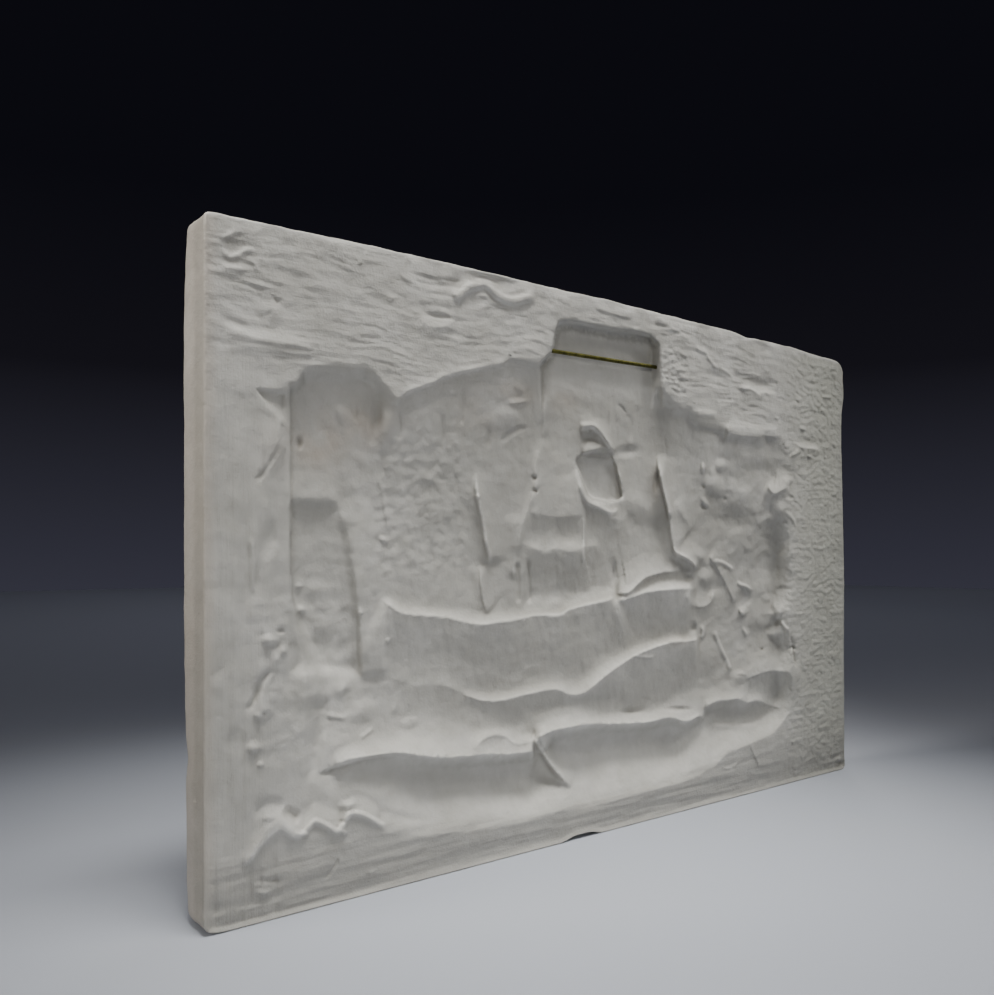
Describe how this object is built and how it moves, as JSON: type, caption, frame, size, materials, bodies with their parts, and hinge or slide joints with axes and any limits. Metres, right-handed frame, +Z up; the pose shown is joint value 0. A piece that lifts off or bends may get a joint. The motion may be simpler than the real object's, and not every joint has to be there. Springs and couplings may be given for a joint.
{
  "type": "plaster relief panel",
  "caption": "Oblong cast plaster relief panel with a rough hollowed back and a thin brass rod across a pocket in its rim, to hang it on a wall hook.",
  "frame": {"origin": "middle of the hanging rod, on its axis, where the wall hook bears", "axes": "+Z up as it hangs, +Y out of the hollowed back towards the wall, the relief faces -Y, +X along the panel's width, to the left as seen from behind"},
  "size_m": [0.7, 0.036, 0.44],
  "materials": {
    "plaster": "matt cast gypsum plaster, brushed and trowelled at the back, grey with dust and faint brown stains",
    "aged_brass": "drawn rod, dulled olive brown"
  },
  "bodies": {
    "root": {"plaster_panel": "plaster", "hanging_rod": "aged_brass"}
  },
  "joints": []
}
